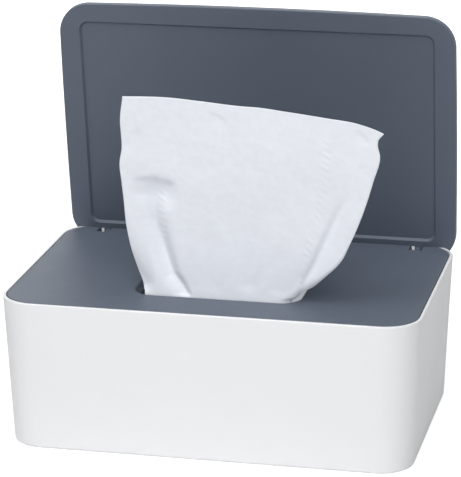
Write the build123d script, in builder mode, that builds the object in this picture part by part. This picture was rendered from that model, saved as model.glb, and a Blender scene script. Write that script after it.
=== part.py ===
"""Countertop wipes dispenser: a white box, a grey cover with a dispensing opening and a grey flip lid.

Millimetres. X runs left to right, Y from the front to the hinge side, Z up from the table.
The origin is on the table under the middle of the box. The lid is drawn standing open.
"""
import os
from math import cos, radians, sin

from build123d import *

# --- Box body ---
body_length = 188.0
body_depth = 124.0
rim_height = 68.5
body_corner = 16.8
base_corner = 15.3
wall_lean = 3.0
wall_thickness = 2.6
floor_thickness = 2.4
underside_round = 1.0
rim_width = 1.3
rim_round = 0.5
rear_corner_stub = 8.4
rear_wall_drop = 6.5

# --- Hinge, shared by the box, the cover and the lid ---
hinge_setback = 5.5
nose_radius = 5.4
hinge_inset = 18.6
lid_open_angle = 82.3
slot_width = 6.2
slot_front_reach = 5.5
keeper_thickness = 1.2
keeper_offset = 2.0
arm_thickness = 2.2
arm_radius = 2.7
pin_radius = 1.0
pin_length = 12.0
ear_width = 4.6
ear_front_wall = 2.2
ear_back = 0.6

# --- Cover ---
cover_thickness = 2.3
cover_edge_round = 0.4
skirt_height = 11.3
skirt_thickness = 1.6
opening_length = 75.0
opening_depth = 75.6
opening_corner = 9.2
opening_round = 1.0
collar_height = 3.0
collar_thickness = 1.5

# --- Gasket round the skirt ---
gasket_height = 1.8
gasket_lift = 0.9
gasket_groove = 0.8

# --- Flip lid ---
lid_inset = 0.5
lid_thickness = 3.4
lid_corner = 14.7
lid_front_bow = 1.2
lid_side_bow = 0.5
lid_top_round = 0.7
lid_bottom_round = 0.4
panel_side_margin = 9.8
panel_rear_margin = 10.9
panel_front_margin = 9.3
panel_corner = 4.4
panel_recess = 1.2
panel_slope = 40.0

# --- Anti-slip feet ---
foot_radius = 6.0
foot_thickness = 1.3
foot_stand_off = 0.3
foot_inset_x = 22.0
foot_inset_y = 20.0

# --- Wipes ---
stack_end_inset = 11.5
stack_side_inset = 12.0
stack_height = 46.0
stack_corner = 5.0
stack_round = 3.0
wipe_bulk = 7.0
wipe_neck_width = 64.0
wipe_mid_width = 92.0
wipe_mid_rise = 17.0
wipe_full_width = 109.0
wipe_full_rise = 45.0
wipe_top_width = 115.0
wipe_top_rise = 84.0
wipe_top_slope = 5.0
wipe_side_drift = 16.0
wipe_tail_thickness = 1.4
wipe_tail_inset = 6.0

# --- Clearances ---
cover_side_gap = 0.55
skirt_gap = 0.5
gasket_gap = 0.15
seam_gap = 0.3
hinge_gap = 0.3
pin_running_gap = 0.05
pin_seat_gap = 0.01
foot_side_gap = 0.2
wipe_edge_gap = 1.2
wipe_rest_gap = 0.35

# --- Worked out from the above ---
underside = foot_stand_off
floor_top = underside + floor_thickness
hinge_y = body_depth / 2 - hinge_setback
hinge_z = rim_height - nose_radius
cover_bottom = rim_height - cover_thickness
skirt_bottom = cover_bottom - skirt_height
rear_wall_top = rim_height - rear_wall_drop
nose_bottom = rear_wall_top + seam_gap
rear_gap_half = body_length / 2 - rear_corner_stub
nose_half = rear_gap_half - cover_side_gap
slot_floor = hinge_z - arm_radius - 2 * hinge_gap
gasket_bottom = skirt_bottom + gasket_lift
lid_rise = nose_radius + seam_gap
stack_top = floor_top + stack_height
slot_centres = (hinge_inset - body_length / 2, body_length / 2 - hinge_inset)
lid_length = body_length - 2 * lid_inset
lid_depth = body_depth - 2 * lid_inset
panel_length = lid_length - 2 * panel_side_margin
panel_depth = lid_depth - panel_front_margin - panel_rear_margin
stack_length = body_length - 2 * stack_end_inset
stack_depth = body_depth - 2 * stack_side_inset

lid_up = Vector(0, sin(radians(lid_open_angle)), cos(radians(lid_open_angle)))
lid_frame = Plane(origin=(0, hinge_y, hinge_z), x_dir=(1, 0, 0), z_dir=lid_up)


def lean_at(height):
    """How far the outer wall has leaned in at this height, measured from the rim."""
    return wall_lean * (rim_height - height) / rim_height


def wall_outline(height, inset=0.0, mode=Mode.ADD):
    """The plan outline of the box at a height, moved in by an inset."""
    shift = lean_at(height) + inset
    corner = body_corner - (body_corner - base_corner) * lean_at(height) / wall_lean - inset
    RectangleRounded(body_length - 2 * shift, body_depth - 2 * shift, corner, mode=mode)


def hinge_section(x):
    """The plane across the hinge at x: origin on the hinge axis, first axis +Y, second axis +Z."""
    return Plane(origin=(x, hinge_y, hinge_z), x_dir=(0, 1, 0), z_dir=(1, 0, 0))


def arm_section(x):
    """The plane across a lid arm at x: origin on the hinge axis, second axis square to the lid."""
    return Plane(origin=(x, hinge_y, hinge_z), x_dir=lid_frame.y_dir, z_dir=(1, 0, 0))


def save(part, name):
    """Name a finished piece and write it to its own file."""
    part.label = name
    export_step(part, f"parts/{name}.step")


os.makedirs("parts", exist_ok=True)

# Box body: a tub with leaning walls and a thin rim round the ledge the cover rests on.
with BuildPart() as box_body:
    with BuildSketch(Plane.XY.offset(underside)):
        wall_outline(underside)
    with BuildSketch(Plane.XY.offset(rim_height)):
        wall_outline(rim_height)
    loft(ruled=True)
    fillet(box_body.faces().sort_by(Axis.Z)[0].edges(), underside_round)
    with BuildSketch(Plane.XY.offset(floor_top)):
        wall_outline(floor_top, wall_thickness)
    with BuildSketch(Plane.XY.offset(rim_height)):
        wall_outline(rim_height, wall_thickness)
    loft(ruled=True, mode=Mode.SUBTRACT)
    with BuildSketch(Plane.XY.offset(cover_bottom)):
        wall_outline(rim_height, rim_width)
    extrude(amount=cover_thickness, mode=Mode.SUBTRACT)
    fillet(box_body.faces().sort_by(Axis.Z)[-1].outer_wire().edges(), rim_round)

    # The rear wall is cut down between the corners, so the lid's rear edge can swing behind it.
    with BuildSketch(Plane.XY.offset(rear_wall_top)):
        with Locations((0, hinge_y)):
            Rectangle(2 * rear_gap_half, 3 * hinge_setback)
    extrude(amount=rim_height, mode=Mode.SUBTRACT)

    # What is left of the rear rim is rounded off about the hinge axis, so the lid clears it as it turns.
    with BuildSketch(hinge_section(0)):
        with Locations((hinge_setback, nose_radius)):
            Rectangle(2 * hinge_setback, 2 * nose_radius)
        Circle(nose_radius, mode=Mode.SUBTRACT)
    extrude(amount=body_length / 2, both=True, mode=Mode.SUBTRACT)

    # A notch for each lid arm, with a round-topped keeper beside it that holds the arm over on its pin.
    keeper_front = hinge_setback - lean_at(slot_floor) - wall_thickness
    for slot_x in slot_centres:
        with BuildSketch(Plane.XY.offset(slot_floor)):
            with Locations((slot_x, hinge_y)):
                Rectangle(slot_width, 3 * hinge_setback)
        extrude(amount=rim_height, mode=Mode.SUBTRACT)
        with BuildSketch(hinge_section(slot_x - keeper_offset)):
            Circle(nose_radius)
            with Locations((0, -nose_radius / 2)):
                Rectangle(2 * nose_radius, nose_radius)
            with Locations((keeper_front - nose_radius, 0)):
                Rectangle(2 * nose_radius, 2 * nose_radius, mode=Mode.SUBTRACT)
        extrude(amount=keeper_thickness / 2, both=True)

    # Shallow round pockets under the floor for the feet.
    with BuildSketch(Plane.XY):
        with GridLocations(body_length - 2 * foot_inset_x, body_depth - 2 * foot_inset_y, 2, 2):
            Circle(foot_radius + foot_side_gap)
    extrude(amount=foot_thickness, mode=Mode.SUBTRACT)

save(box_body.part, "box_body")

# Cover: a flush plate, a skirt that hangs inside the box and a round nose along the hinge side.
skirt_inset = wall_thickness + skirt_gap
with BuildPart() as top_cover:
    with BuildSketch(Plane.XY.offset(cover_bottom)):
        wall_outline(rim_height, rim_width + cover_side_gap)
    extrude(amount=cover_thickness)
    fillet(top_cover.faces().sort_by(Axis.Z)[-1].edges(), cover_edge_round)
    with BuildSketch(Plane.XY.offset(skirt_bottom)):
        wall_outline(skirt_bottom, skirt_inset)
    extrude(amount=skirt_height)
    with BuildSketch(Plane.XY.offset(skirt_bottom)):
        wall_outline(skirt_bottom, skirt_inset + skirt_thickness)
    extrude(amount=skirt_height, mode=Mode.SUBTRACT)

    # Opening with a rounded edge and a collar under it.
    with BuildSketch(Plane.XY.offset(cover_bottom - collar_height)):
        RectangleRounded(opening_length + 2 * collar_thickness, opening_depth + 2 * collar_thickness,
                         opening_corner + collar_thickness)
    extrude(amount=collar_height)
    with BuildSketch(Plane.XY.offset(cover_bottom - collar_height)):
        RectangleRounded(opening_length, opening_depth, opening_corner)
    extrude(amount=collar_height + cover_thickness, mode=Mode.SUBTRACT)
    fillet(top_cover.faces().sort_by(Axis.Z)[-1].inner_wires().edges(), opening_round)

    # The square rear edge of the plate is swapped for a round nose about the hinge axis.
    with BuildSketch(Plane.XY.offset(cover_bottom)):
        with Locations((0, hinge_y + hinge_setback)):
            Rectangle(2 * nose_half, 2 * hinge_setback)
    extrude(amount=cover_thickness, mode=Mode.SUBTRACT)
    with BuildSketch(hinge_section(0)):
        Circle(nose_radius)
        with Locations((0, -nose_radius + (nose_bottom - hinge_z))):
            Rectangle(2 * nose_radius, 2 * nose_radius, mode=Mode.SUBTRACT)
        with Locations((-nose_radius, 0)):
            Rectangle(2 * nose_radius, 2 * nose_radius, mode=Mode.SUBTRACT)
    extrude(amount=nose_half, both=True)
    with BuildSketch(hinge_section(0)):
        with Locations((hinge_setback, nose_radius)):
            Rectangle(2 * hinge_setback, 2 * nose_radius)
        Circle(nose_radius, mode=Mode.SUBTRACT)
    extrude(amount=body_length / 2, both=True, mode=Mode.SUBTRACT)
    with BuildSketch(Plane.XY.offset(skirt_bottom)):
        wall_outline(rear_wall_top)
    extrude(amount=rim_height, mode=Mode.INTERSECT)

    # Ears under the plate carry the pins, and the slot between each pair takes a lid arm.
    ear_half = slot_width / 2 + ear_width
    ear_depth = pin_radius + ear_front_wall + ear_back
    for slot_x in slot_centres:
        inboard = -1 if slot_x > 0 else 1
        with BuildSketch(Plane.XY.offset(slot_floor)):
            with Locations((slot_x, hinge_y + ear_back - ear_depth / 2)):
                Rectangle(2 * ear_half, ear_depth)
        extrude(amount=cover_bottom - slot_floor)
        with BuildSketch(Plane.XY.offset(slot_floor)):
            with Locations((slot_x, hinge_y - slot_front_reach + 2 * hinge_setback)):
                Rectangle(slot_width, 4 * hinge_setback)
        extrude(amount=rim_height, mode=Mode.SUBTRACT)
        with BuildSketch(hinge_section(slot_x - inboard * pin_length / 2)):
            Circle(pin_radius + pin_seat_gap)
        extrude(amount=inboard * (pin_length / 2 + ear_half), mode=Mode.SUBTRACT)

    # Groove round the skirt for the gasket.
    with BuildSketch(Plane.XY.offset(gasket_bottom)):
        wall_outline(skirt_bottom, skirt_inset)
        wall_outline(skirt_bottom, skirt_inset + gasket_groove, Mode.SUBTRACT)
    extrude(amount=gasket_height, mode=Mode.SUBTRACT)

save(top_cover.part, "top_cover")

# Gasket: a soft ring that fills the groove and reaches almost to the box wall.
with BuildPart() as cover_gasket:
    with BuildSketch(Plane.XY.offset(gasket_bottom)):
        wall_outline(gasket_bottom, wall_thickness + gasket_gap)
        wall_outline(skirt_bottom, skirt_inset + gasket_groove, Mode.SUBTRACT)
    extrude(amount=gasket_height)

save(cover_gasket.part, "cover_gasket")

# Hinge pins, pushed in from the middle of the cover.
for slot_x, side in zip(slot_centres, ("left", "right")):
    with BuildPart() as hinge_pin:
        with BuildSketch(hinge_section(slot_x)):
            Circle(pin_radius)
        extrude(amount=pin_length / 2, both=True)
    save(hinge_pin.part, f"hinge_pin_{side}")

# Flip lid: a thin panel with a recessed underside and two arms that reach down to the pins.
with BuildPart() as flip_lid:
    lid_middle = -hinge_y
    lid_x = lid_length / 2 - lid_side_bow
    lid_front = lid_middle - lid_depth / 2 + lid_front_bow
    lid_rear = lid_middle + lid_depth / 2 - lid_front_bow
    with BuildSketch(lid_frame.offset(lid_rise)) as lid_outline:
        with BuildLine():
            ThreePointArc((-lid_x, lid_front), (0, lid_front - lid_front_bow), (lid_x, lid_front))
            ThreePointArc((lid_x, lid_front), (lid_x + lid_side_bow, lid_middle), (lid_x, lid_rear))
            ThreePointArc((lid_x, lid_rear), (0, lid_rear + lid_front_bow), (-lid_x, lid_rear))
            ThreePointArc((-lid_x, lid_rear), (-lid_x - lid_side_bow, lid_middle), (-lid_x, lid_front))
        make_face()
        fillet(lid_outline.vertices(), lid_corner)
    extrude(amount=lid_thickness)
    lid_top = flip_lid.faces().sort_by(Axis((0, 0, 0), tuple(lid_up)))[-1]
    fillet(lid_top.edges(), lid_top_round)
    lid_bottom = flip_lid.faces().sort_by(Axis((0, 0, 0), tuple(lid_up)))[0]
    fillet(lid_bottom.edges(), lid_bottom_round)
    with BuildSketch(lid_frame.offset(lid_rise)):
        with Locations((0, lid_middle + (panel_front_margin - panel_rear_margin) / 2)):
            RectangleRounded(panel_length, panel_depth, panel_corner)
    extrude(amount=panel_recess, taper=panel_slope, mode=Mode.SUBTRACT)
    for slot_x in slot_centres:
        with BuildSketch(arm_section(slot_x)):
            Circle(arm_radius)
            with Locations((0, (lid_rise + lid_bottom_round) / 2)):
                Rectangle(2 * arm_radius, lid_rise + lid_bottom_round)
            Circle(pin_radius + pin_running_gap, mode=Mode.SUBTRACT)
        extrude(amount=arm_thickness / 2, both=True)

save(flip_lid.part, "flip_lid")

# Four soft feet, one in each pocket under the floor.
foot_x = body_length / 2 - foot_inset_x
foot_y = body_depth / 2 - foot_inset_y
for x_side, side in ((-1, "left"), (1, "right")):
    for y_side, end in ((-1, "front"), (1, "rear")):
        with BuildPart() as foot:
            with BuildSketch():
                with Locations((x_side * foot_x, y_side * foot_y)):
                    Circle(foot_radius)
            extrude(amount=foot_thickness)
            fillet(foot.edges().sort_by(Axis.Z)[0], foot_stand_off / 2)
        save(foot.part, f"foot_{end}_{side}")

# Stack of folded wipes on the floor of the box.
with BuildPart() as wipe_stack:
    with BuildSketch(Plane.XY.offset(floor_top)):
        RectangleRounded(stack_length, stack_depth, stack_corner)
    extrude(amount=stack_height)
    fillet(wipe_stack.faces().sort_by(Axis.Z)[-1].edges(), stack_round)

save(wipe_stack.part, "wipe_stack")

# Pulled wipe: a tail spread on the stack, a neck over the front edge of the opening and a fanned-out top.
neck_y = wipe_edge_gap - opening_depth / 2 + wipe_bulk / 2
neck_bottom = cover_bottom - collar_height
tail_bottom = stack_top + wipe_rest_gap
tail_front = neck_y / 3
tail_rear = stack_depth / 2 - wipe_tail_inset
wipe_sections = (
    (tail_bottom, 0.0, tail_front, wipe_top_width, 2 * wipe_bulk),
    (neck_bottom, wipe_side_drift / 8, neck_y, wipe_neck_width, wipe_bulk),
    (rim_height + seam_gap, wipe_side_drift / 8, neck_y, wipe_neck_width, wipe_bulk),
    (rim_height + wipe_mid_rise, wipe_side_drift / 2, neck_y, wipe_mid_width, wipe_bulk),
    (rim_height + wipe_full_rise, 0.8 * wipe_side_drift, neck_y, wipe_full_width, wipe_bulk),
)
with BuildPart() as pulled_wipe:
    for height, centre_x, centre_y, width, bulk in wipe_sections:
        with BuildSketch(Plane.XY.offset(height)):
            with Locations((centre_x, centre_y)):
                SlotOverall(width, bulk)
    top_plane = Plane((wipe_side_drift, neck_y, rim_height + wipe_top_rise))
    with BuildSketch(top_plane.rotated((0, wipe_top_slope, 0))):
        SlotOverall(wipe_top_width, wipe_bulk / 2)
    loft(ruled=True)
    with BuildSketch(Plane.XY.offset(tail_bottom)):
        with Locations((0, (tail_front + tail_rear) / 2)):
            RectangleRounded(stack_length - 2 * stack_round, tail_rear - tail_front, stack_corner)
    extrude(amount=wipe_tail_thickness)

save(pulled_wipe.part, "pulled_wipe")
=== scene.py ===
# %% [markdown]
# # A countertop wipes dispenser
# The object is a white moulded tub with a grey cover let into its rim. A grey lid stands open on a hinge
# along the rear edge, and a white wipe has been pulled up through the opening. The hard pieces come from
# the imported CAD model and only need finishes. The cloth is soft, so it is built here.

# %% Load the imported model
from math import cos, pi, radians, sin

import bpy
import numpy as np
from mathutils import Matrix, Vector, noise


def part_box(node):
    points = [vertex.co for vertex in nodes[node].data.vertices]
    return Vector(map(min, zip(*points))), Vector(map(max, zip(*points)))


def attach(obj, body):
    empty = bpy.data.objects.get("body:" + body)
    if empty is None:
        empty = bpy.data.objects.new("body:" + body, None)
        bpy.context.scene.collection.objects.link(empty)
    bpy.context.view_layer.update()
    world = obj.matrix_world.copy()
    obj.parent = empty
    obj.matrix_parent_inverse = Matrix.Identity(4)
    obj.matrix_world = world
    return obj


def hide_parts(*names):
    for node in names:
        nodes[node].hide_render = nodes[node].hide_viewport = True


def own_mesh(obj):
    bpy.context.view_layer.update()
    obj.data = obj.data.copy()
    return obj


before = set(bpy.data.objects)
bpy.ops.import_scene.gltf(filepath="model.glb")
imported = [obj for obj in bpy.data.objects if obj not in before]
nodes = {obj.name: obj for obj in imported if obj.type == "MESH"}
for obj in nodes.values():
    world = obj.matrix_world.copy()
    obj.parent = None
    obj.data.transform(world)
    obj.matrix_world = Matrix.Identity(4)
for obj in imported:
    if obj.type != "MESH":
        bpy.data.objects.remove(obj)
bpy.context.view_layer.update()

# %% [markdown]
# ## Camera
# A product like this is usually shown from a little above and to one side with a long lens, so that its
# edges stay nearly parallel. The camera could be aimed with a Track To constraint. Here its three axes
# are worked out from a turn, a dip and a tilt in radians, because then each angle can be changed on its
# own. The sensor width belongs to the longer side of the picture, which is its height.

# %% Camera
IMAGE_HEIGHT_PX = 477
FOCAL_PX = 2611.3
SENSOR_WIDTH = 36
CAMERA_PLACE = Vector((0.25074, -1.10072, 0.42976))
TURN, DIP, TILT = -0.2248, 0.2965, -0.0072
NEAREST, FARTHEST = 0.05, 20

aim = Vector((sin(TURN) * cos(DIP), cos(TURN) * cos(DIP), -sin(DIP)))
level = Vector((cos(TURN), -sin(TURN), 0))
upward = level.cross(aim)
right = cos(TILT) * level + sin(TILT) * upward
top = cos(TILT) * upward - sin(TILT) * level

camera_data = bpy.data.cameras.new("camera")
camera_data.sensor_width = SENSOR_WIDTH
camera_data.lens = FOCAL_PX * SENSOR_WIDTH / IMAGE_HEIGHT_PX
camera_data.clip_start, camera_data.clip_end = NEAREST, FARTHEST
camera = bpy.data.objects.new("camera", camera_data)
camera.matrix_world = Matrix.Translation(CAMERA_PLACE) @ Matrix((right, top, -aim)).transposed().to_4x4()
bpy.context.scene.collection.objects.link(camera)
bpy.context.scene.camera = camera
print("lens:", round(camera_data.lens, 1), "mm")

# %% [markdown]
# ## Small helpers for materials
# Every finish below is made from nodes. They could be wired by hand in the Shader Editor. A few helpers
# keep that wiring short to read: they make a material, add a node, do a sum, change a range and use a
# node group.


# %% Material helpers
def new_material(name):
    """An empty node material. Returns the material and its Principled BSDF."""
    material = bpy.data.materials.new(name)
    material.use_nodes = True
    return material, material.node_tree.nodes["Principled BSDF"]


def add(tree, kind, **inputs):
    """A new node in the tree, with some of its inputs set. Words in an input's name are joined by _."""
    node = tree.nodes.new(kind)
    for name, value in inputs.items():
        node.inputs[name.replace("_", " ")].default_value = value
    return node


def math_node(tree, operation, first, second):
    """A Math node. Each operand is a number or a socket."""
    node = tree.nodes.new("ShaderNodeMath")
    node.operation = operation
    for socket, value in zip(node.inputs, (first, second)):
        if hasattr(value, "is_linked"):
            tree.links.new(value, socket)
        else:
            socket.default_value = value
    return node.outputs[0]


def remap(tree, value, low, high, new_low, new_high):
    """A Map Range node that takes a socket from one range to another."""
    node = add(tree, "ShaderNodeMapRange", From_Min=low, From_Max=high, To_Min=new_low, To_Max=new_high)
    tree.links.new(value, node.inputs["Value"])
    return node.outputs["Result"]


def new_group(name, inputs, outputs):
    """An empty shader node group. inputs and outputs are (name, socket type, default) rows."""
    group = bpy.data.node_groups.new(name, "ShaderNodeTree")
    for in_out, rows in (("INPUT", inputs), ("OUTPUT", outputs)):
        for socket_name, kind, default in rows:
            socket = group.interface.new_socket(socket_name, in_out=in_out, socket_type=kind)
            if default is not None:
                socket.default_value = default
    return group, group.nodes.new("NodeGroupInput"), group.nodes.new("NodeGroupOutput")


def place_group(tree, group, **inputs):
    """A copy of a node group in a tree, with its own values."""
    node = tree.nodes.new("ShaderNodeGroup")
    node.node_tree = group
    for name, value in inputs.items():
        node.inputs[name.replace("_", " ")].default_value = value
    return node


NUMBER, COLOUR, PLACE = "NodeSocketFloat", "NodeSocketColor", "NodeSocketVector"
print("kinds of socket:", NUMBER, COLOUR, PLACE)

# %% [markdown]
# ## Shared effect: moulded grain
# The steel mould of a plastic piece is spark-eroded or blasted, and leaves a fine, even, matte grain on
# it. It could be painted on with an image. Two layers of noise do the same at any size: one gives the
# grain itself, and a much larger one lets the roughness drift a little, as it does where the plastic
# cooled faster.

# %% Moulded grain group
grain_group, grain_in, grain_out = new_group(
    "moulded_grain",
    [("Place", PLACE, None), ("Grain Size", NUMBER, 0.0005), ("Roughness", NUMBER, 0.45),
     ("Drift", NUMBER, 0.04)],
    [("Height", NUMBER, None), ("Roughness", NUMBER, None)],
)
per_metre = math_node(grain_group, "DIVIDE", 1.0, grain_in.outputs["Grain Size"])
fine = add(grain_group, "ShaderNodeTexNoise", Detail=2.0, Roughness=0.6)
broad = add(grain_group, "ShaderNodeTexNoise", Scale=22.0, Detail=3.0, Roughness=0.55)
for texture in (fine, broad):
    grain_group.links.new(grain_in.outputs["Place"], texture.inputs["Vector"])
grain_group.links.new(per_metre, fine.inputs["Scale"])
drift = math_node(grain_group, "MULTIPLY", remap(grain_group, broad.outputs["Fac"], 0.3, 0.7, -1, 1),
                  grain_in.outputs["Drift"])
grain_group.links.new(fine.outputs["Fac"], grain_out.inputs["Height"])
grain_group.links.new(math_node(grain_group, "ADD", grain_in.outputs["Roughness"], drift),
                      grain_out.inputs["Roughness"])
print("group:", grain_group.name)

# %% [markdown]
# ## Shared effect: handling
# Nothing that is used stays one flat colour. Fingers leave faint soft patches, and dust settles in a
# thin, uneven film on whatever faces up. Both could be painted on. Here the first is a large noise and
# the second is a noise masked by how far the surface faces the ceiling, so they work on any shape. Both
# are kept weak, because this dispenser is nearly new.

# %% Handling group
handling_group, handling_in, handling_out = new_group(
    "handling",
    [("Place", PLACE, None), ("Colour", COLOUR, (0.5, 0.5, 0.5, 1)),
     ("Patch Tint", COLOUR, (0.5, 0.5, 0.5, 1)), ("Patch Size", NUMBER, 0.05), ("Patches", NUMBER, 0.3),
     ("Dust", NUMBER, 0.02)],
    [("Colour", COLOUR, None)],
)
DUST_COLOUR = (0.62, 0.61, 0.59, 1)
patch = add(handling_group, "ShaderNodeTexNoise", Detail=3.0, Roughness=0.5)
speck = add(handling_group, "ShaderNodeTexNoise", Scale=420.0, Detail=2.0, Roughness=0.7)
for texture in (patch, speck):
    handling_group.links.new(handling_in.outputs["Place"], texture.inputs["Vector"])
handling_group.links.new(math_node(handling_group, "DIVIDE", 1.0, handling_in.outputs["Patch Size"]),
                         patch.inputs["Scale"])
patch_share = math_node(handling_group, "MULTIPLY",
                        remap(handling_group, patch.outputs["Fac"], 0.38, 0.68, 0, 1),
                        handling_in.outputs["Patches"])
patched = handling_group.nodes.new("ShaderNodeMix")
patched.data_type = "RGBA"
handling_group.links.new(patch_share, patched.inputs["Factor"])
handling_group.links.new(handling_in.outputs["Colour"], patched.inputs["A"])
handling_group.links.new(handling_in.outputs["Patch Tint"], patched.inputs["B"])

# %% Dust film of the handling group
facing = handling_group.nodes.new("ShaderNodeNewGeometry")
facing_parts = handling_group.nodes.new("ShaderNodeSeparateXYZ")
handling_group.links.new(facing.outputs["Normal"], facing_parts.inputs["Vector"])
film = math_node(handling_group, "MULTIPLY",
                 remap(handling_group, facing_parts.outputs["Z"], 0.6, 1.0, 0, 1),
                 remap(handling_group, speck.outputs["Fac"], 0.45, 0.75, 0.2, 1))
film = math_node(handling_group, "MULTIPLY", film, handling_in.outputs["Dust"])
dusted = handling_group.nodes.new("ShaderNodeMix")
dusted.data_type = "RGBA"
dusted.inputs["B"].default_value = DUST_COLOUR
handling_group.links.new(film, dusted.inputs["Factor"])
handling_group.links.new(patched.outputs["Result"], dusted.inputs["A"])
handling_group.links.new(dusted.outputs["Result"], handling_out.inputs["Colour"])
print("group:", handling_group.name)

# %% [markdown]
# ## Moulded finishes
# The tub is white polypropylene with a satin face. The cover and the lid are a cool dark grey with a
# finer but deeper grain. The gasket and the feet are silicone, which lets a little light in and has a
# powdery bloom. Each could be a material built from scratch. All of them come from a mould, so one recipe
# makes them: the colour goes through the handling group, and the roughness and the bump come from the
# grain group.


# %% Moulded recipe
def moulded(name, colour, patch_tint, grain_depth, grain_values, handling_values):
    """A moulded material from the two shared effects. Sizes are in metres and colours are linear."""
    material, shader = new_material(name)
    tree = material.node_tree
    place = tree.nodes.new("ShaderNodeTexCoord").outputs["Object"]
    grain = place_group(tree, grain_group, **grain_values)
    handled = place_group(tree, handling_group, Colour=(*colour, 1), Patch_Tint=(*patch_tint, 1),
                          **handling_values)
    bump = add(tree, "ShaderNodeBump", Strength=1.0, Distance=grain_depth)
    for group in (grain, handled):
        tree.links.new(place, group.inputs["Place"])
    tree.links.new(handled.outputs["Colour"], shader.inputs["Base Color"])
    tree.links.new(grain.outputs["Roughness"], shader.inputs["Roughness"])
    tree.links.new(grain.outputs["Height"], bump.inputs["Height"])
    tree.links.new(bump.outputs["Normal"], shader.inputs["Normal"])
    return material, shader


# %% Plastics
white_plastic, white_shader = moulded(
    "white_polypropylene", (0.86, 0.865, 0.88), (0.84, 0.845, 0.86), 0.00001,
    {"Grain_Size": 0.0007, "Roughness": 0.52}, {"Patches": 0.5, "Dust": 0.01})
grey_plastic, grey_shader = moulded(
    "grey_matte_plastic", (0.094, 0.115, 0.152), (0.102, 0.124, 0.162), 0.000018,
    {"Grain_Size": 0.00055, "Roughness": 0.52}, {"Patches": 0.6, "Dust": 0.02})
for shader, specular in ((white_shader, 0.25), (grey_shader, 0.4)):
    shader.inputs["Specular IOR Level"].default_value = specular
    shader.inputs["IOR"].default_value = 1.49
print("plastics:", white_plastic.name, grey_plastic.name)


# %% Silicones
def silicone(name, colour, roughness):
    """A soft matte silicone with a faint powdery bloom."""
    darker = [channel * 0.92 for channel in colour]
    material, shader = moulded(name, colour, darker, 0.00002,
                               {"Grain_Size": 0.0009, "Roughness": roughness, "Drift": 0.08},
                               {"Patch_Size": 0.006, "Patches": 0.7, "Dust": 0.05})
    shader.inputs["Subsurface Weight"].default_value = 0.25
    shader.inputs["Subsurface Scale"].default_value = 0.001
    return material


gasket_silicone = silicone("gasket_silicone", (0.60, 0.61, 0.62), 0.5)
foot_silicone = silicone("foot_silicone", (0.52, 0.53, 0.54), 0.62)
print("silicones:", gasket_silicone.name, foot_silicone.name)

# %% [markdown]
# ## Steel
# The hinge pins are cut from drawn wire, whose fine scratches all run along its length. An anisotropic
# shader would spread the highlights in the same way. A noise stretched along X shows the scratches
# themselves.

# %% Drawn steel wire
drawn_steel, steel_shader = new_material("drawn_steel_wire")
steel_tree = drawn_steel.node_tree
steel_place = steel_tree.nodes.new("ShaderNodeTexCoord")
stretch = add(steel_tree, "ShaderNodeMapping", Scale=(90.0, 9000.0, 9000.0))
scratch = add(steel_tree, "ShaderNodeTexNoise", Scale=1.0, Detail=3.0, Roughness=0.6)
steel_bump = add(steel_tree, "ShaderNodeBump", Strength=1.0, Distance=0.000008)
steel_tree.links.new(steel_place.outputs["Object"], stretch.inputs["Vector"])
steel_tree.links.new(stretch.outputs["Vector"], scratch.inputs["Vector"])
steel_tree.links.new(scratch.outputs["Fac"], steel_bump.inputs["Height"])
steel_tree.links.new(steel_bump.outputs["Normal"], steel_shader.inputs["Normal"])
steel_tree.links.new(remap(steel_tree, scratch.outputs["Fac"], 0.3, 0.7, 0.22, 0.42),
                     steel_shader.inputs["Roughness"])
steel_shader.inputs["Base Color"].default_value = (0.58, 0.59, 0.60, 1)
steel_shader.inputs["Metallic"].default_value = 1.0
print("steel:", drawn_steel.name)

# %% [markdown]
# ## Dress the CAD pieces
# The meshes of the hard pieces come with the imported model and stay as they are. A finish could be added
# to each by hand. A table of names and finishes shows at a glance what is made of what.

# %% Dress the CAD pieces
finishes = {
    "box_body": white_plastic, "top_cover": grey_plastic, "flip_lid": grey_plastic,
    "cover_gasket": gasket_silicone, "hinge_pin_left": drawn_steel, "hinge_pin_right": drawn_steel,
    "foot_front_left": foot_silicone, "foot_front_right": foot_silicone,
    "foot_rear_left": foot_silicone, "foot_rear_right": foot_silicone,
}
for node_name, finish in finishes.items():
    mesh = nodes[node_name].data
    mesh.materials.clear()
    mesh.materials.append(finish)
print("finished CAD pieces:", len(finishes))

# %% [markdown]
# ## Non-woven cloth
# A wipe is not woven. Its fibres are laid flat in every direction and tangled by water jets, which leaves
# a faint cloudy texture with short fibres on top, and a roller presses a shallow dotted relief into it.
# An image of cloth could be used. Three patterns do without it: a cloudy noise, a stretched noise for the
# fibres and a Voronoi pattern for the dots.

# %% Cloth texture group
cloth_group, cloth_in, cloth_out = new_group(
    "nonwoven_relief",
    [("Place", PLACE, None), ("Dot Spacing", NUMBER, 0.0024), ("Fibre", NUMBER, 0.5),
     ("Dots", NUMBER, 0.5)],
    [("Height", NUMBER, None), ("Cloud", NUMBER, None)],
)
cloud = add(cloth_group, "ShaderNodeTexNoise", Scale=180.0, Detail=4.0, Roughness=0.6)
fibre_stretch = add(cloth_group, "ShaderNodeMapping", Scale=(1.0, 4.0, 1.0), Rotation=(0, 0, 0.5))
fibre = add(cloth_group, "ShaderNodeTexNoise", Scale=900.0, Detail=3.0, Roughness=0.7, Distortion=1.2)
dots = cloth_group.nodes.new("ShaderNodeTexVoronoi")
dots.inputs["Randomness"].default_value = 0.25
for texture in (cloud, fibre_stretch, dots):
    cloth_group.links.new(cloth_in.outputs["Place"], texture.inputs["Vector"])
cloth_group.links.new(fibre_stretch.outputs["Vector"], fibre.inputs["Vector"])
cloth_group.links.new(math_node(cloth_group, "DIVIDE", 1.0, cloth_in.outputs["Dot Spacing"]),
                      dots.inputs["Scale"])
pressed = remap(cloth_group, dots.outputs["Distance"], 0.1, 0.45, 0, 1)
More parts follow.
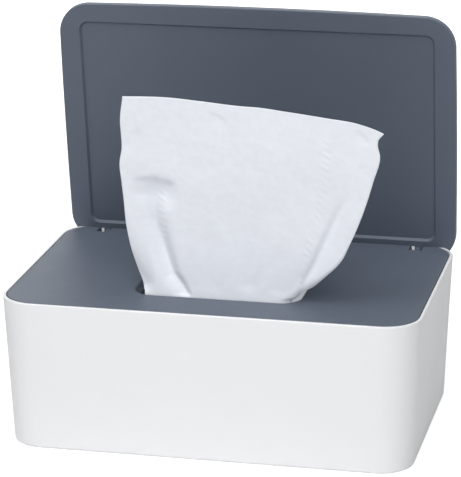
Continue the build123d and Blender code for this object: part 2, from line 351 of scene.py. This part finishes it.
relief = math_node(cloth_group, "ADD",
                   math_node(cloth_group, "MULTIPLY", pressed, cloth_in.outputs["Dots"]),
                   math_node(cloth_group, "MULTIPLY", fibre.outputs["Fac"], cloth_in.outputs["Fibre"]))
cloth_group.links.new(math_node(cloth_group, "ADD", relief, cloud.outputs["Fac"]),
                      cloth_out.inputs["Height"])
cloth_group.links.new(cloud.outputs["Fac"], cloth_out.inputs["Cloud"])
print("group:", cloth_group.name)


# %% Cloth finish
def wipe_cloth(name, thin, thick, place_name, relief_depth):
    """White non-woven cloth. thin is its colour where the fibres are sparse, thick where they crowd."""
    material, shader = new_material(name)
    tree = material.node_tree
    place = tree.nodes.new("ShaderNodeTexCoord").outputs[place_name]
    weave = place_group(tree, cloth_group)
    mix = tree.nodes.new("ShaderNodeMix")
    mix.data_type = "RGBA"
    mix.inputs["A"].default_value = (*thin, 1)
    mix.inputs["B"].default_value = (*thick, 1)
    bump = add(tree, "ShaderNodeBump", Strength=1.0, Distance=relief_depth)
    tree.links.new(place, weave.inputs["Place"])
    tree.links.new(remap(tree, weave.outputs["Cloud"], 0.35, 0.65, 0, 1), mix.inputs["Factor"])
    tree.links.new(mix.outputs["Result"], shader.inputs["Base Color"])
    tree.links.new(remap(tree, weave.outputs["Cloud"], 0.3, 0.7, 0.95, 0.82), shader.inputs["Roughness"])
    tree.links.new(weave.outputs["Height"], bump.inputs["Height"])
    tree.links.new(bump.outputs["Normal"], shader.inputs["Normal"])
    shader.inputs["Specular IOR Level"].default_value = 0.2
    shader.inputs["Sheen Weight"].default_value = 0.15
    shader.inputs["Sheen Roughness"].default_value = 0.5
    return material


wipe_white = wipe_cloth("wipe_cloth_white", (0.785, 0.81, 0.865), (0.81, 0.835, 0.89), "UV", 0.00002)
stack_white = wipe_cloth("wipe_stack_white", (0.74, 0.765, 0.82), (0.79, 0.815, 0.87), "Object", 0.00005)
print("cloths:", wipe_white.name, stack_white.name)

# %% [markdown]
# ## The pulled wipe
# The wipe is one sheet of cloth, 165 by 200 mm when flat. Its lower half still lies on the stack, its
# middle is gathered where it bends over the front edge of the opening, and its upper half fans out and
# stands. A cloth simulation could find such a shape, but not this one: the outline and each crease would
# be left to chance. So the sheet is shaped row by row. Each row says where the cloth runs at one height,
# a smooth spline joins the rows, and the creases are pressed in afterwards. All sizes of the wipe are in
# millimetres.

# %% Curves through a few points
MM = 0.001


def smooth_step(first, last, leave, arrive, t):
    """The cubic that goes from first to last as t goes from 0 to 1, with the two given slopes."""
    rise = last - first
    square, cube = 3 * rise - 2 * leave - arrive, leave + arrive - 2 * rise
    return first + t * leave + t * t * square + t ** 3 * cube


def through(points, at):
    """A smooth curve through a few (position, value) points, read at many positions."""
    xs, ys = np.array(points, float).T
    slopes = np.gradient(ys, xs)
    at = np.clip(at, xs[0], xs[-1])
    i = np.clip(np.searchsorted(xs, at, side="right") - 1, 0, len(xs) - 2)
    span = xs[i + 1] - xs[i]
    return smooth_step(ys[i], ys[i + 1], slopes[i] * span, slopes[i + 1] * span, (at - xs[i]) / span)


def ease(t):
    """0 to 1 with a soft start and stop."""
    t = np.clip(t, 0, 1)
    return t * t * (3 - 2 * t)


def bell(distance, width):
    """1 at distance 0, falling off smoothly to almost nothing at two widths."""
    return np.exp(-(distance / width) ** 2)


print("halfway up an eased step:", float(ease(0.5)))

# %% Outline of the standing part: (height, across) up each side, (across, height) along the top
DECK = round(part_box("top_cover")[1].z / MM, 3)
left_edge = ((68.5, -31.5), (74.3, -32.3), (79.0, -34.0), (88.1, -37.0), (99.9, -39.4), (111.5, -40.4),
             (120.5, -41.3), (128.0, -42.0), (135.4, -40.9), (141.8, -41.1), (147.0, -41.4), (158.6, -40.1))
right_edge = ((68.5, 35.6), (70.1, 38.2), (74.5, 42.2), (80.6, 48.6), (88.1, 56.0), (97.9, 61.0),
              (109.2, 65.6), (126.1, 70.8), (137.3, 73.6), (142.5, 72.6), (144.6, 72.9), (147.5, 75.2))
top_edge = ((-40.1, 158.6), (-20.0, 159.0), (-5.0, 158.0), (12.0, 156.7), (21.0, 156.4), (33.5, 155.1),
            (50.0, 153.2), (64.6, 151.2), (72.0, 148.9), (75.2, 147.5))
fold_line = ((68.5, 37.0), (70.6, 37.9), (79.9, 41.8), (88.4, 45.8), (98.8, 50.4), (110.2, 55.3),
             (123.2, 61.0), (147.5, 68.0))
print("the wipe stands", round(max(z for x, z in top_edge) - DECK, 1), "mm above the cover")

# %% Rows and columns of cloth
FLAP_SHARE = 0.26
COLUMNS, ROWS_UP, ROWS_DOWN = 240, 150, 70
across = np.linspace(0, 1, COLUMNS)
height = np.linspace(0, 1, ROWS_UP)[:, None]
front = np.clip(across / (1 - FLAP_SHARE), 0, 1)
behind = np.clip((across - (1 - FLAP_SHARE)) / FLAP_SHARE, 0, 1)
in_flap = behind > 0
print("columns:", COLUMNS, "of which folded behind:", int(in_flap.sum()))

# %% [markdown]
# The edges above are drawn flat, on an upright sheet of tracing paper that touches the front edge of the
# opening. A point of cloth that lies further back shows a little higher and further right on that paper,
# because the dispenser is seen from above and from the right. Two small slopes turn one into the other,
# so the cloth can be given any depth and keep the outline that was drawn.

# %% From the drawing to the cloth and back
PAPER_Y = -38.0
SIDE_SLOPE, RISE_SLOPE = 0.228, 0.313


def on_paper(x, y, z):
    """Where a point of cloth shows on the drawing."""
    return x + SIDE_SLOPE * (y - PAPER_Y), z + RISE_SLOPE * (y - PAPER_Y)


def off_paper(drawn_x, drawn_z, y):
    """The point of cloth that shows at a place on the drawing and lies at depth y."""
    return drawn_x - SIDE_SLOPE * (y - PAPER_Y), drawn_z - RISE_SLOPE * (y - PAPER_Y)


print("10 mm further back shows", round(10 * RISE_SLOPE, 1), "mm higher")

# %% [markdown]
# Where the cloth leaves the opening it follows the front edge, starts round the right-hand corner and
# then doubles back behind itself. That path could be drawn by hand as a curve. Here it is a line, a piece
# of a circle and a few more points, taken from the size of the opening, and the columns of cloth are
# spread along its length.

# %% Path of the cloth through the opening
OPENING_LENGTH, OPENING_DEPTH, OPENING_CORNER = 75.0, 75.6, 9.2
CLOTH_GAP = 0.5
CORNER_TURN = radians(42)
CLOTH_FRONT = CLOTH_GAP - OPENING_DEPTH / 2


def mouth_path(shrink=0.0):
    """Where each column of cloth runs at the opening. shrink pulls it away from the edge."""
    r = OPENING_CORNER - CLOTH_GAP
    half, near = OPENING_LENGTH / 2 - CLOTH_GAP - shrink, CLOTH_FRONT + shrink
    front_line = [(-31.6, near + 0.3), (-24, near), (half - r, near)]
    turns = np.linspace(0.12, CORNER_TURN, 5)
    front_line += [(half - r + r * sin(a), near + r - r * cos(a)) for a in turns]
    fold_x, fold_y = front_line[-1]
    back_steps = ((0, 0), (-0.5, 1.3), (-3, 2.0), (-14, 1.1), (-30, 1.5))
    back_line = [(fold_x + dx, fold_y + dy) for dx, dy in back_steps]
    x, y = np.empty(COLUMNS), np.empty(COLUMNS)
    for line, share, chosen in ((front_line, front, ~in_flap), (back_line, behind, in_flap)):
        line = np.array(line)
        steps = np.r_[0, np.cumsum(np.linalg.norm(np.diff(line, axis=0), axis=1))]
        x[chosen] = np.interp(share[chosen] * steps[-1], steps, line[:, 0])
        y[chosen] = np.interp(share[chosen] * steps[-1], steps, line[:, 1])
    return x, y


mouth_x, mouth_y = mouth_path()
print("width at the opening:", round(float(np.ptp(mouth_x)), 1), "mm")

# %% [markdown]
# The standing part is one grid of rows. A row's share of the height is the same for every column, so the
# top row follows the slanting top edge. Columns start where the opening puts them and are evenly spread
# by two fifths of the way up. The last quarter of the width turns behind the right-hand edge and lies a
# millimetre or two back.

# %% Standing part, as drawn
SPREAD_BY, FLAP_FREE_BY = 0.42, 0.10
FLAP_REACH, FLAP_REACH_ABOVE = 33.0, 4.0
foot_x, foot_z = on_paper(mouth_x, mouth_y, DECK)
crown_x = left_edge[-1][1] + (right_edge[-1][1] - left_edge[-1][1]) * front
crown = through(top_edge, crown_x) - 2.4 * ease(behind / 0.3) - 3.0 * behind
paper_z = foot_z + height * (crown - foot_z)
edge_left, edge_right = (through(edge, paper_z) for edge in (left_edge, right_edge))
even = edge_left + (edge_right - edge_left) * front
foot_share = np.clip((foot_x - edge_left) / (edge_right - edge_left), 0, 1)
start = edge_left + (edge_right - edge_left) * np.where(in_flap, 1.0, foot_share[:1])
paper_x = start + (even - start) * ease(height / SPREAD_BY)
paper_x = paper_x - (FLAP_REACH + FLAP_REACH_ABOVE * height) * np.clip(behind - 0.02, 0, 1)
paper_x = np.where(in_flap, foot_x + (paper_x - foot_x) * ease(height / FLAP_FREE_BY), paper_x)
print("rows up:", paper_x.shape[0], "width at the top:", round(float(np.ptp(paper_x[-1])), 1), "mm")

# %% [markdown]
# The drawing gives no depth. The sheet could be left flat, and would look like card. So it leans back a
# little, bows forward in the middle, comes forward again in the wing to the right of the fold, and its
# left edge curls back near the foot.

# %% Depth of the standing part
LEAN_BACK, BOW = 4.6, 0.6
WING_FORWARD, WING_WIDEST = 0.10, 10
LEFT_CURL = 2.2
lean = CLOTH_FRONT + LEAN_BACK * (1 - np.exp(-height / 0.24))
bow = BOW * np.sin(pi * height) * (1 - (2 * front - 0.9) ** 2)
fold_at = through(fold_line, paper_z)
wing_share = (paper_x - fold_at) / np.maximum(edge_right - fold_at, 1.0)
wing = WING_FORWARD * np.clip(edge_right - fold_at, 0, WING_WIDEST)
wing = wing * np.where(in_flap, 1 - ease(behind / 0.4), ease(wing_share)) * ease(height / 0.15)
round_corner = np.where(in_flap, mouth_y[front == 1][0], mouth_y) - CLOTH_FRONT
turn = 0.5 * (1.0 - np.cos(pi * np.clip(behind / 0.07, 0, 1)))
flap_gap = turn * (1.4 + 0.9 * height) - 2.2 * behind * height
curl = LEFT_CURL * bell(paper_x - edge_left, 3.2) * bell(height - 0.1, 0.13) * ease(height / 0.05)
free = lean - bow * ~in_flap + round_corner * (1 - ease(height / 0.15)) - wing + flap_gap + curl
y_up = np.where(in_flap, mouth_y + (free - mouth_y) * ease(height / 0.12), free)
print("depth of the standing part:", round(float(np.ptp(y_up)), 1), "mm")

# %% [markdown]
# Below the cover the cloth slopes back to the middle of the stack and opens out to its full width. Nobody
# sees this part unless they look straight down the opening, so a few key rows are enough. Each gives x, y
# and z for every column, and the waves shrink where the cloth comes to lie flat.

# %% Hidden part, from the opening down to the stack
STACK_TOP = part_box("wipe_stack")[1].z / MM
BELOW_COVER = 62.6
spread = across - 0.5
low_x, low_y = mouth_path(0.8)
wave = np.sin(2 * pi * 5 * across + 0.6)
key_rows = np.array([
    (mouth_x, mouth_y, np.full(COLUMNS, DECK)),
    (low_x, low_y, np.full(COLUMNS, BELOW_COVER)),
    (90 * spread + 0.5, -29.0 + 2.2 * wave, 57.6 + 0.8 * wave),
    (126 * spread, -19.5 + 1.5 * wave, 53.4 + 1.0 * wave),
    (150 * spread, -8.0 + 0.6 * wave, STACK_TOP + 2.2 + 0.8 * wave),
    (158 * spread, 4.0 + 0.3 * wave, STACK_TOP + 1.0 + 0.25 * wave),
    (158.6 * spread, 17.0 + 0 * wave, STACK_TOP + 0.9 + 0.15 * wave),
    (158.8 * spread, 30.5 + 0 * wave, STACK_TOP + 0.9 - 0.1 * wave),
    (158.6 * spread, 43.6 + 0.3 * wave, STACK_TOP + 0.9 + 0.1 * wave),
])
key_at = np.linspace(0, 1, len(key_rows))
key_slopes = np.gradient(key_rows, key_at, axis=0)
down = np.linspace(0, 1, ROWS_DOWN)[1:]
row = np.clip(np.searchsorted(key_at, down, side="right") - 1, 0, len(key_at) - 2)
span = (key_at[row + 1] - key_at[row])[:, None, None]
lower_rows = smooth_step(key_rows[row], key_rows[row + 1],
                         key_slopes[row] * span, key_slopes[row + 1] * span,
                         (down - key_at[row])[:, None, None] / span)
print("rows on the way down:", len(down))

# %% [markdown]
# ## Creases
# A crease is a line along which the cloth steps: one side falls back behind the other and comes forward
# again further away. It could be sculpted by hand. Here each one gets a line on the drawing, a step, a
# sharpness and the distance over which it fades, so that it can be moved by changing a number.


# %% Distance to a line on the drawing
def line_distance(line):
    """Signed distance to a line, from every point of the standing part, and the share along the line."""
    points = np.stack([paper_x, paper_z], axis=-1)
    best = np.full(paper_x.shape, 1e9)
    signed, share = np.zeros(paper_x.shape), np.zeros(paper_x.shape)
    line = np.array(line, float)
    lengths = np.linalg.norm(np.diff(line, axis=0), axis=1)
    done = np.r_[0, np.cumsum(lengths)]
    for first, last, before, length in zip(line[:-1], line[1:], done[:-1], lengths):
        along = (last - first) / length
        rel = points - first
        t = np.clip(rel @ along, 0, length)
        distance = np.linalg.norm(rel - t[..., None] * along, axis=-1)
        side = np.sign(rel[..., 0] * along[1] - rel[..., 1] * along[0])
        closer = distance < best
        best = np.where(closer, distance, best)
        signed = np.where(closer, side * distance, signed)
        share = np.where(closer, (before + t) / done[-1], share)
    return signed, share


# %% Crease shapes
def fade(share, start_fade, end_fade):
    """1 along a line, fading to 0 at its two ends."""
    return ease(share / start_fade) * ease((1 - share) / end_fade)


def crease(line, step, sharp, reach, start_fade, end_fade):
    """A step across a line. The left-hand side of the line, seen along it, falls back."""
    signed, share = line_distance(line)
    fallen_back = 0.5 * (np.tanh(signed / sharp) - 1) * bell(signed, reach)
    return step * fade(share, start_fade, end_fade) * fallen_back


def valley(line, depth, width, start_fade, end_fade):
    """A soft trough along a line, where depth is below 0."""
    signed, share = line_distance(line)
    return depth * fade(share, start_fade, end_fade) * bell(signed, width)


def puckers(line, depth, spacing, width):
    """A row of short slanting wrinkles along a pressed seam."""
    signed, share = line_distance(line)
    length = float(np.linalg.norm(np.diff(np.array(line, float), axis=0), axis=1).sum())
    phase = 2 * pi * (share * length + 0.6 * signed) / spacing
    patchy = 0.55 + 0.45 * np.sin(phase / 5.3 + 1.0) * np.sin(phase / 2.9)
    return depth * patchy * np.sin(phase) * bell(signed, width) * fade(share, 0.1, 0.1)


print("fade halfway along a line:", float(fade(0.5, 0.1, 0.1)))

# %% [markdown]
# The deepest crease is the fold on the left. It starts as a sharp line at the opening, opens out upwards
# and ends under a short crossways crease, so its depth, width and sharpness each follow a curve of their
# own.

# %% Fold on the left
fold_left = ((-9.4, 67.5), (-13.0, 74.5), (-16.7, 80.1), (-20.5, 92.9), (-23.8, 104.0), (-24.6, 113.6),
             (-23.6, 121.3))
signed, share = line_distance(fold_left)
fold_depth = through(((0, 1.6), (0.15, 3.2), (0.45, 5.2), (0.7, 4.4), (1, 0)), share)
fold_width = through(((0, 3.6), (0.45, 6.5), (1, 7.5)), share)
fold_edge = through(((0, 0.35), (0.4, 1.8), (1, 3.5)), share)
sharp_fold = 0.5 * fold_depth * (np.tanh(signed / fold_edge) - 1) * bell(signed, fold_width)
print("depth of the left fold:", round(float(np.abs(sharp_fold).max()), 1), "mm")

# %% The other creases: line, step, sharpness, reach, fade at the start and at the end
fold_right = ((37.9, 71.5), *((x, z) for z, x in fold_line[2:-1]))
creases = (
    (((-15.6, 119.8), (-26.4, 122.4), (-38.0, 121.2)), 1.4, 0.8, 7.5, 0.2, 0.5),
    (((8.5, 147.9), (2.6, 151.9), (-3.2, 154.3)), 0.32, 0.6, 3.5, 0.4, 0.3),
    (((70.8, 140.9), (69.2, 144.0), (66.5, 146.6), (62.4, 149.0)), 0.5, 0.9, 4.5, 0.4, 0.3),
    (((-33.5, 146.0), (-37.7, 140.1), (-41.0, 133.5)), 0.5, 1.0, 5.0, 0.3, 0.3),
)
forward = sum(crease(*row) for row in creases)
print("creases:", len(creases) + 1)

# %% Valleys: line, depth, width, fade at the start and at the end
valleys = (
    (((-14.0, 115.5), (-27.0, 116.0), (-38.5, 114.0)), -1.4, 5.5, 0.3, 0.4),
    (fold_right, -1.0, 1.7, 0.15, 0.35),
    (((-1.6, 69.7), (-1.3, 105.0)), -0.45, 3.6, 0.12, 0.5),
    (((15.1, 70.8), (15.3, 119.0)), -0.60, 4.2, 0.12, 0.5),
    (((28.0, 71.0), (31.0, 100.0)), -0.30, 3.4, 0.12, 0.5),
    (((-28.5, 71.0), (-32.5, 96.0)), -0.40, 2.6, 0.12, 0.5),
)
forward += sum(valley(*row) for row in valleys)
print("valleys:", len(valleys))

# %% [markdown]
# Two seams are pressed into the cloth, one on each side, and pull it into a row of small puckers. Last
# come the gathers and a little unevenness. The gathers start at the opening and open out upwards, so they
# follow the share of the width and not the distance. Blender's own noise, read at each point, keeps large
# areas from being perfectly flat, and gives the same result each time.

# %% Puckered seams and gathers
seam_right = ((37.9, 72.3), (41.1, 87.0), (44.1, 100.0), (48.0, 114.6), (50.3, 127.3), (50.2, 149.2))
seam_left = ((-20.8, 95.0), (-22.4, 101.0), (-23.4, 109.0), (-22.6, 118.0))
forward += puckers(seam_right, 0.16, 3.1, 1.6)
forward += puckers(seam_left, 0.26, 3.0, 1.8)
gather = 0.10 * np.sin(2 * pi * 5.2 * front + 0.8) + 0.06 * np.sin(2 * pi * 9.3 * front + 2.1)
forward += gather * bell(height - 0.10, 0.36) * ease(height / 0.08) * (front < 1)
print("relief so far:", round(float(np.ptp(forward)), 2), "mm")

# %% Unevenness: depth, size across, size up, and a place in the noise for each layer
NOISE_LAYERS = ((0.6, 26, 30, 3.1), (0.20, 8, 9, 7.7), (0.06, 2.6, 2.6, 1.3))


def unevenness(x, z):
    """How far the cloth swells forward at one place on the drawing."""
    return sum(depth * noise.noise(Vector((x / wide, z / tall, seed)))
               for depth, wide, tall, seed in NOISE_LAYERS)


uneven = np.array([[unevenness(x, z) for x, z in zip(xs, zs)] for xs, zs in zip(paper_x, paper_z)])
forward += uneven * ease(height / 0.35)
print("unevenness:", round(float(np.ptp(uneven)), 2), "mm")

# %% [markdown]
# The relief is now pressed into the sheet. It starts from nothing at the opening, where the edge of the
# cover holds the cloth, and the part folded behind takes less of it. Then the drawing is turned into real
# places.

# %% Press the creases in
pressed_in = forward * ease(height / 0.08) + sharp_fold * ease(height / 0.015)
y_up = y_up - pressed_in * (1 - 0.6 * in_flap)
x_up, z_up = off_paper(paper_x, paper_z, y_up)
x_up = mouth_x + (x_up - mouth_x) * ease(height / 0.03)
print("real height above the cover:", round(float(z_up.max() - DECK), 1), "mm")


# %% Mesh from a grid of points
def grid_mesh(name, grid, columns_length, rows_length):
    """A mesh from a grid of points in millimetres, with UVs in metres of flat cloth."""
    rows, columns = grid.shape[:2]
    index = np.arange(rows * columns).reshape(rows, columns)
    faces = np.stack([index[:-1, :-1], index[:-1, 1:], index[1:, 1:], index[1:, :-1]], axis=-1)
    mesh = bpy.data.meshes.new(name)
    mesh.from_pydata((grid.reshape(-1, 3) * MM).tolist(), [], faces.reshape(-1, 4).tolist())
    uv = mesh.uv_layers.new(name="flat_cloth")
    flat_u = np.tile(np.linspace(0, columns_length, columns), rows)
    flat_v = np.repeat(np.linspace(0, rows_length, rows), columns)
    corner = np.array([loop.vertex_index for loop in mesh.loops])
    flat = np.stack([flat_u[corner], flat_v[corner]], axis=-1)
    uv.data.foreach_set("uv", flat.astype(np.float32).ravel())
    mesh.shade_smooth()
    return mesh


# %% [markdown]
# The rows from the stack up to the opening and from there to the top become one mesh. It could be given
# its thickness by a second layer of points. A Solidify modifier does it with one number. The sheet rides
# the cover and takes the place of the plain solid.

# %% Pulled wipe
WIPE_FLAT = (0.165, 0.200)
CLOTH_THICKNESS = 0.00035
upper = np.stack([x_up, y_up, z_up], axis=-1)
lower = lower_rows.transpose(0, 2, 1)[::-1]
wipe_mesh = grid_mesh("pulled_wipe_sheet", np.concatenate([lower, upper]), *WIPE_FLAT)
wipe = bpy.data.objects.new("pulled_wipe_sheet", wipe_mesh)
bpy.context.scene.collection.objects.link(wipe)
wipe.data.materials.append(wipe_white)
thickness = wipe.modifiers.new("cloth_thickness", "SOLIDIFY")
thickness.thickness = CLOTH_THICKNESS
thickness.offset = 0
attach(wipe, "cover")
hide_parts("pulled_wipe")
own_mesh(wipe)
print("wipe faces:", len(wipe_mesh.polygons))

# %% [markdown]
# ## The stack of wipes
# The refill is a block of folded wipes. A box with a striped texture would look right only from far away,
# so each folded wipe is a thin cushion of its own with a round edge, a little shorter or longer and a
# little out of line with its neighbour. All of them are one mesh, because they never part.

# %% One folded wipe
CORNER, EDGE_INSET = 5.0, 0.8
RING_SHARES = (0.0, 0.12, 0.35, 0.65, 0.88, 1.0)
CORNER_POINTS = 7


def soft_slab(low, high, half_x, half_y, shift):
    """Rings of points that make one folded wipe: rounded corners in plan and a round edge in section."""
    rings = []
    for share in RING_SHARES:
        radius = CORNER - EDGE_INSET * (1 - sin(pi * share) ** 0.5)
        ring = []
        for side_x, side_y, start in ((1, 1, 0.0), (-1, 1, 0.5), (-1, -1, 1.0), (1, -1, 1.5)):
            for step in range(CORNER_POINTS):
                angle = pi * (start + 0.5 * step / (CORNER_POINTS - 1))
                ring.append((shift[0] + side_x * (half_x - CORNER) + radius * cos(angle),
                             shift[1] + side_y * (half_y - CORNER) + radius * sin(angle),
                             low + (high - low) * share))
        rings.append(ring)
    return rings


def slab_faces(first, rings):
    """The faces that join one wipe's rings and close its ends. Its points are numbered from first."""
    count = len(rings[0])
    faces = []
    for r in range(len(rings) - 1):
        lower, upper = first + r * count, first + (r + 1) * count
        for c in range(count):
            n = (c + 1) % count
            faces.append((lower + c, lower + n, upper + n, upper + c))
    faces.append(tuple(first + c for c in reversed(range(count))))
    faces.append(tuple(first + (len(rings) - 1) * count + c for c in range(count)))
    return faces


print("points round one wipe:", 4 * CORNER_POINTS)

# %% Stack of folded wipes
LAYERS = 23
stack_low, stack_high = (np.array(corner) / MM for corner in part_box("wipe_stack"))
half_x, half_y = (stack_high[:2] - stack_low[:2]) / 2
pitch = (stack_high[2] - stack_low[2]) / LAYERS
stack_points, stack_faces = [], []
for layer in range(LAYERS):
    jitter = [noise.noise(Vector((layer * 1.7, seed, 0.5))) for seed in (0.3, 5.1, 9.7, 14.2)]
    rings = soft_slab(stack_low[2] + layer * pitch, stack_low[2] + (layer + 1) * pitch,
                      half_x - 0.7 + 0.6 * jitter[0], half_y - 0.6 + 0.5 * jitter[1],
                      (0.5 * jitter[2], 0.4 * jitter[3]))
    stack_faces += slab_faces(len(stack_points), rings)
    stack_points += [tuple(v * MM for v in point) for ring in rings for point in ring]
stack_mesh = bpy.data.meshes.new("wipe_stack_folded")
stack_mesh.from_pydata(stack_points, [], stack_faces)
stack_mesh.shade_smooth()
stack = bpy.data.objects.new("wipe_stack_folded", stack_mesh)
bpy.context.scene.collection.objects.link(stack)
stack.data.materials.append(stack_white)
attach(stack, "tub")
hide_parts("wipe_stack")
print("folded wipes:", LAYERS, "pitch", round(float(pitch), 2), "mm")

# %% [markdown]
# ## Floor, backdrop and light
# The dispenser stands on a white sweep in plain soft light. The sweep could be a curved sheet. Here it is
# a flat floor under a white world. Its white comes from its colour and a glow that only the camera and
# reflections see, so the object gets no extra light from it. The glow is weaker near the object, where
# its shadow has to show, and full further away, where the lamps don't reach.


# %% White for the camera and for reflections
def seen_directly(tree):
    """1 for camera, glossy and transmission rays, 0 for the rays that carry light."""
    path = tree.nodes.new("ShaderNodeLightPath")
    seen = math_node(tree, "MAXIMUM", path.outputs["Is Camera Ray"], path.outputs["Is Glossy Ray"])
    return math_node(tree, "MAXIMUM", seen, path.outputs["Is Transmission Ray"])


# %% World
world = bpy.data.worlds.new("white_studio")
world.use_nodes = True
bpy.context.scene.world = world
sky = world.node_tree
sky_light = sky.nodes["Background"]
sky_light.inputs["Color"].default_value = (0.97, 0.985, 1.0, 1)
sky_light.inputs["Strength"].default_value = 0.05
sky_white = add(sky, "ShaderNodeBackground", Color=(1, 1, 1, 1), Strength=1.0)
sky_choice = sky.nodes.new("ShaderNodeMixShader")
sky.links.new(seen_directly(sky), sky_choice.inputs["Fac"])
sky.links.new(sky_light.outputs[0], sky_choice.inputs[1])
sky.links.new(sky_white.outputs[0], sky_choice.inputs[2])
sky.links.new(sky_choice.outputs[0], sky.nodes["World Output"].inputs["Surface"])
print("world:", world.name)

# %% Floor
FLOOR_HALF = 3
GLOW_NEAR, GLOW_FAR = 0.3, 1.2
floor_mesh = bpy.data.meshes.new("floor")
floor_corners = ((-1, -1), (1, -1), (1, 1), (-1, 1))
floor_mesh.from_pydata([(x * FLOOR_HALF, y * FLOOR_HALF, 0) for x, y in floor_corners], [], [(0, 1, 2, 3)])
floor = bpy.data.objects.new("floor", floor_mesh)
bpy.context.scene.collection.objects.link(floor)
floor_white, floor_shader = new_material("white_sweep")
floor_tree = floor_white.node_tree
floor_shader.inputs["Base Color"].default_value = (0.86, 0.86, 0.86, 1)
floor_shader.inputs["Roughness"].default_value = 0.9
floor_shader.inputs["Specular IOR Level"].default_value = 0.1
glow = add(floor_tree, "ShaderNodeEmission", Color=(1, 1, 1, 1))
distance = floor_tree.nodes.new("ShaderNodeVectorMath")
distance.operation = "LENGTH"
floor_tree.links.new(floor_tree.nodes.new("ShaderNodeTexCoord").outputs["Object"], distance.inputs[0])
floor_tree.links.new(remap(floor_tree, distance.outputs["Value"], GLOW_NEAR, GLOW_FAR, 0.6, 1.0),
                     glow.inputs["Strength"])
total = floor_tree.nodes.new("ShaderNodeAddShader")
floor_choice = floor_tree.nodes.new("ShaderNodeMixShader")
floor_tree.links.new(floor_shader.outputs[0], total.inputs[0])
floor_tree.links.new(glow.outputs[0], total.inputs[1])
floor_tree.links.new(seen_directly(floor_tree), floor_choice.inputs["Fac"])
floor_tree.links.new(floor_shader.outputs[0], floor_choice.inputs[1])
floor_tree.links.new(total.outputs[0], floor_choice.inputs[2])
floor_tree.links.new(floor_choice.outputs[0], floor_tree.nodes["Material Output"].inputs["Surface"])
floor_mesh.materials.append(floor_white)
print("floor:", 2 * FLOOR_HALF, "m square")

# %% [markdown]
# Four large square lamps light the object. A world image could do it too, but a lamp can be moved and
# dimmed by itself. The key lamp stands in front and a little to the right, one hangs above, one lifts the
# left side and a weak one behind keeps the back from going dark.

# %% Lamps: name, place and watts
AIM = (0, 0, 0.06)
LAMP_SIZE = 1.2
lamps = (
    ("key_softbox", (0.4, -1.6, 1.3), 22.3),
    ("overhead_softbox", (0.1, -0.3, 1.7), 6.5),
    ("left_softbox", (-0.5, -0.5, 1.6), 12),
    ("rear_softbox", (-0.3, 1.7, 1.0), 5),
)
for name, place, watts in lamps:
    lamp_data = bpy.data.lights.new(name, "AREA")
    lamp_data.energy = watts
    lamp_data.size = LAMP_SIZE
    lamp = bpy.data.objects.new(name, lamp_data)
    lamp.location = place
    lamp.rotation_mode = "QUATERNION"
    lamp.rotation_quaternion = (Vector(AIM) - Vector(place)).to_track_quat("-Z", "Y")
    bpy.context.scene.collection.objects.link(lamp)
print("lamps:", len(lamps), "with", sum(watts for name, place, watts in lamps), "W")

# %% [markdown]
# ## View settings
# A film-like view transform would soften the whites. The standard one shows each colour as it was
# written.

# %% Finish
bpy.context.scene.view_settings.view_transform = "Standard"
